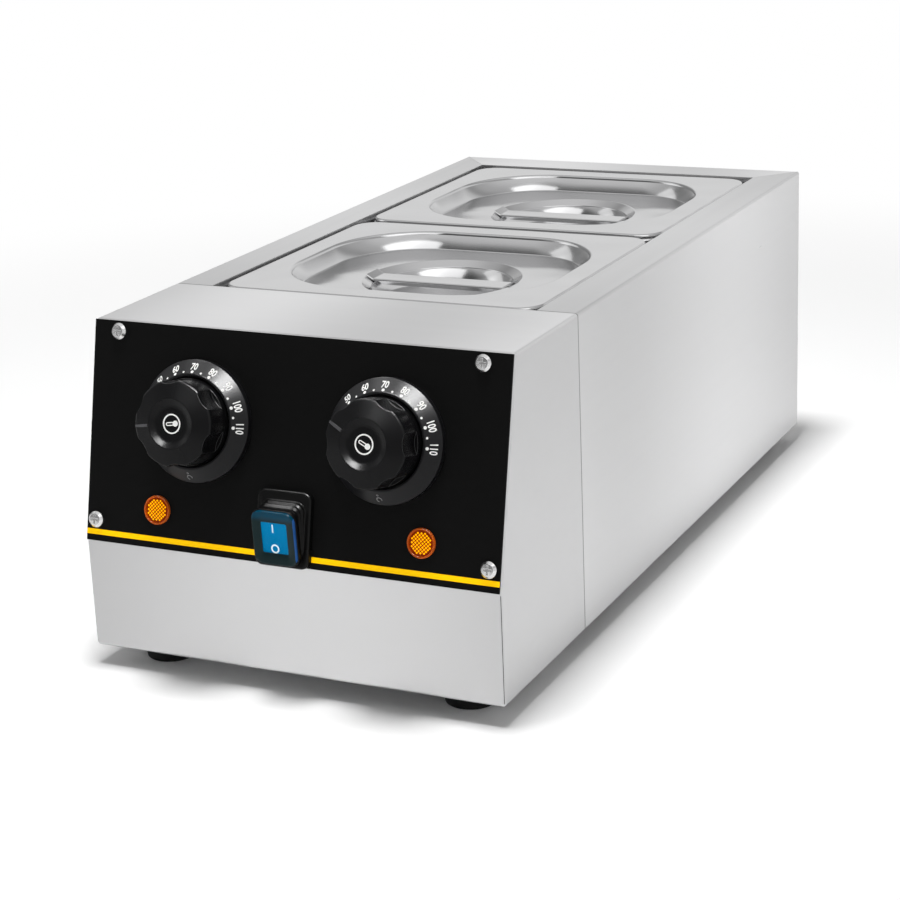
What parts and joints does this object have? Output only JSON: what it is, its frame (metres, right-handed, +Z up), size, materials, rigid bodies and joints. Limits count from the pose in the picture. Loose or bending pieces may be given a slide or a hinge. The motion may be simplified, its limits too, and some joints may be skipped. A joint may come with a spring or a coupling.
{
  "type": "chocolate tempering machine",
  "caption": "Steel countertop chocolate melter with lift-out lidded pans in heated wells, a sloped black control panel with dials, lamps and a booted rocker switch.",
  "frame": {"origin": "middle of the footprint box, on the surface that the feet stand on", "axes": "+X towards the machine's right as seen from its front, +Y from the control panel to the back, +Z up"},
  "size_m": [0.22, 0.4832, 0.17],
  "materials": {
    "casing_steel": "satin stainless steel",
    "pan_steel": "bright polished stainless steel",
    "well_steel": "plain stainless steel",
    "zinc_steel": "zinc plated",
    "fascia_black": "satin black print on steel",
    "dial_black": "black with white numbers",
    "knob_black": "fine satin",
    "lens_amber": "clear amber",
    "rocker_blue": "gloss blue",
    "window_smoke": "dark smoked plastic",
    "boot_rubber": "soft black",
    "foot_rubber": "black",
    "switch_plastic": "black",
    "thermostat_plastic": "dark grey",
    "lamp_plastic": "natural nylon",
    "plate_aluminium": "milled",
    "tube_steel": "dark heat-tinted",
    "board_fibre": "off-white fibre board",
    "capillary_copper": "bare copper",
    "gland_nylon": "black nylon",
    "terminal_nylon": "white nylon"
  },
  "bodies": {
    "casing": {"back_panel": "casing_steel", "back_screws": "zinc_steel", "base_plate": "casing_steel", "base_screws": "zinc_steel", "bulb_clips": "zinc_steel", "cable_gland": "gland_nylon", "capillary_left": "capillary_copper", "capillary_right": "capillary_copper", "dial_left": "dial_black", "dial_right": "dial_black", "fascia_plate": "fascia_black", "fascia_screws": "zinc_steel", "foot_front_left": "foot_rubber", "foot_front_right": "foot_rubber", "foot_rear_left": "foot_rubber", "foot_rear_right": "foot_rubber", "foot_screws": "zinc_steel", "front_housing": "casing_steel", "gland_nut": "gland_nylon", "heater_clamps": "zinc_steel", "heater_plate_front": "plate_aluminium", "heater_plate_rear": "plate_aluminium", "heater_tube_front": "tube_steel", "heater_tube_rear": "tube_steel", "insulation_front": "board_fibre", "insulation_rear": "board_fibre", "lamp_left": "lamp_plastic", "lamp_nuts": "zinc_steel", "lamp_right": "lamp_plastic", "left_side_panel": "casing_steel", "lens_left": "lens_amber", "lens_right": "lens_amber", "right_side_panel": "casing_steel", "switch_body": "switch_plastic", "switch_boot": "boot_rubber", "terminal_block": "terminal_nylon", "thermostat_left": "thermostat_plastic", "thermostat_right": "thermostat_plastic", "thermostat_screws": "zinc_steel", "well_front": "well_steel", "well_rail": "well_steel", "well_rear": "well_steel"},
    "front_pan": {"pan_front": "pan_steel"},
    "rear_pan": {"pan_rear": "pan_steel"},
    "front_lid": {"lid_front": "pan_steel", "handle_front": "pan_steel"},
    "rear_lid": {"lid_rear": "pan_steel", "handle_rear": "pan_steel"},
    "left_knob": {"knob_left": "knob_black", "spindle_left": "zinc_steel"},
    "right_knob": {"knob_right": "knob_black", "spindle_right": "zinc_steel"},
    "rocker": {"switch_rocker": "rocker_blue", "switch_window": "window_smoke"}
  },
  "joints": [
    {"name": "front_pan_lift", "type": "slide", "parent": "casing", "child": "front_pan", "axis": [0, 0, 1], "range_m": [0, 0.12]},
    {"name": "front_lid_lift", "type": "slide", "parent": "front_pan", "child": "front_lid", "axis": [0, 0, 1], "range_m": [0, 0.06]},
    {"name": "rear_pan_lift", "type": "slide", "parent": "casing", "child": "rear_pan", "axis": [0, 0, 1], "range_m": [0, 0.12]},
    {"name": "rear_lid_lift", "type": "slide", "parent": "rear_pan", "child": "rear_lid", "axis": [0, 0, 1], "range_m": [0, 0.06]},
    {"name": "left_knob_turn", "type": "hinge", "parent": "casing", "child": "left_knob", "pos_m": [-0.05, -0.21398, 0.12685], "axis": [0, 0.974, -0.2267], "range_deg": [0, 196]},
    {"name": "right_knob_turn", "type": "hinge", "parent": "casing", "child": "right_knob", "pos_m": [0.05, -0.21398, 0.12685], "axis": [0, 0.974, -0.2267], "range_deg": [-33.6, 162.4]},
    {"name": "switch_rock", "type": "hinge", "parent": "casing", "child": "rocker", "pos_m": [0, -0.22274, 0.08217], "axis": [-1, 0, 0], "range_deg": [0, 32], "deforming": ["switch_boot"]}
  ]
}
